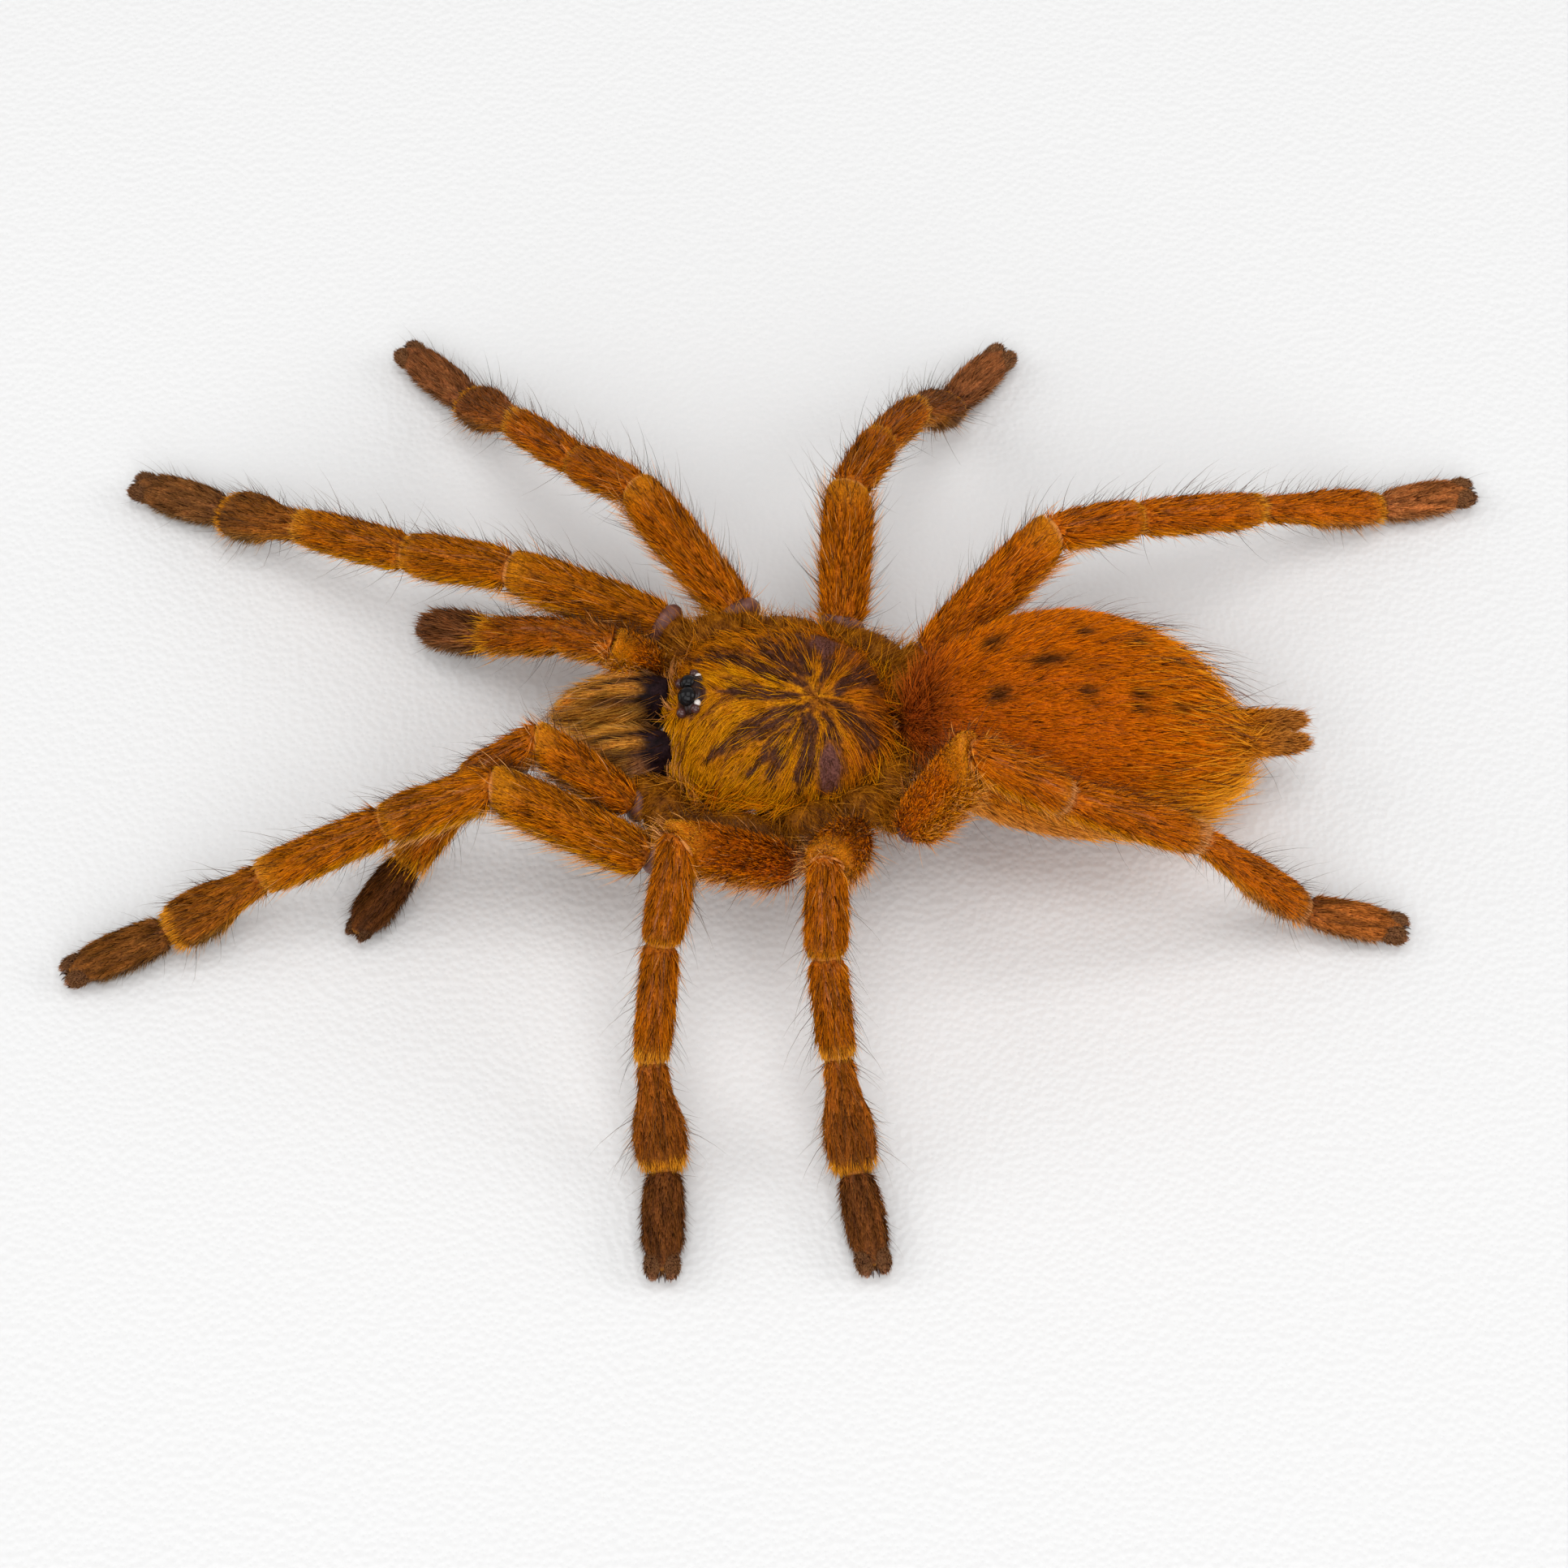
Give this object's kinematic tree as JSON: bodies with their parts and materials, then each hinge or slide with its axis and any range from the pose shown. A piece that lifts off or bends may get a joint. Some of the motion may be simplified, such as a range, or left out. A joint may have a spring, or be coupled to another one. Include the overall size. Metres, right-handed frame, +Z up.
{
  "type": "dried tarantula specimen",
  "caption": "Dried, spread tarantula with a densely haired hind body, a head shield, jaws, feelers and bent legs that stand on their foot pads.",
  "frame": {"origin": "on the surface the specimen stands on, under the middle of its bounding box", "axes": "+Z up, -X towards the head, +Y towards the animal's right side"},
  "size_m": [0.1118, 0.086, 0.0234],
  "materials": {
    "shield": "hard plate under combed golden hair",
    "underside": "hard plate under short brown hair",
    "abdomen": "soft skin under dense orange-brown hair",
    "spinneret": "soft skin under short hair",
    "jaw": "dark plate under olive-gold hair",
    "fang": "polished black horn",
    "leg": "plate under dense orange hair",
    "foot": "plate under dark brown hair and a velvety pad"
  },
  "bodies": {
    "root": {"femur_right_leg_1": "leg", "patella_right_leg_1": "leg", "tibia_right_leg_1": "leg", "metatarsus_right_leg_1": "leg", "tarsus_right_leg_1": "foot", "femur_right_leg_2": "leg", "patella_right_leg_2": "leg", "tibia_right_leg_2": "leg", "metatarsus_right_leg_2": "leg", "tarsus_right_leg_2": "foot", "femur_right_leg_3": "leg", "patella_right_leg_3": "leg", "tibia_right_leg_3": "leg", "metatarsus_right_leg_3": "leg", "tarsus_right_leg_3": "foot", "femur_right_leg_4": "leg", "patella_right_leg_4": "leg", "tibia_right_leg_4": "leg", "metatarsus_right_leg_4": "leg", "tarsus_right_leg_4": "foot", "femur_left_leg_1": "leg", "patella_left_leg_1": "leg", "tibia_left_leg_1": "leg", "metatarsus_left_leg_1": "leg", "tarsus_left_leg_1": "foot", "femur_left_leg_2": "leg", "patella_left_leg_2": "leg", "tibia_left_leg_2": "leg", "metatarsus_left_leg_2": "leg", "tarsus_left_leg_2": "foot", "femur_left_leg_3": "leg", "patella_left_leg_3": "leg", "tibia_left_leg_3": "leg", "metatarsus_left_leg_3": "leg", "tarsus_left_leg_3": "foot", "femur_left_leg_4": "leg", "patella_left_leg_4": "leg", "tibia_left_leg_4": "leg", "metatarsus_left_leg_4": "leg", "tarsus_left_leg_4": "foot", "femur_right_palp": "leg", "patella_right_palp": "leg", "tibia_right_palp": "leg", "tarsus_right_palp": "foot", "femur_left_palp": "leg", "patella_left_palp": "leg", "tibia_left_palp": "leg", "tarsus_left_palp": "foot", "carapace": "shield", "abdomen": "abdomen", "pedicel": "underside", "spinneret_right": "spinneret", "small_spinneret_right": "spinneret", "spinneret_left": "spinneret", "small_spinneret_left": "spinneret", "fang_right": "fang", "chelicera_right": "jaw", "fang_left": "fang", "chelicera_left": "jaw", "sternum_and_coxae": "underside"}
  },
  "joints": []
}
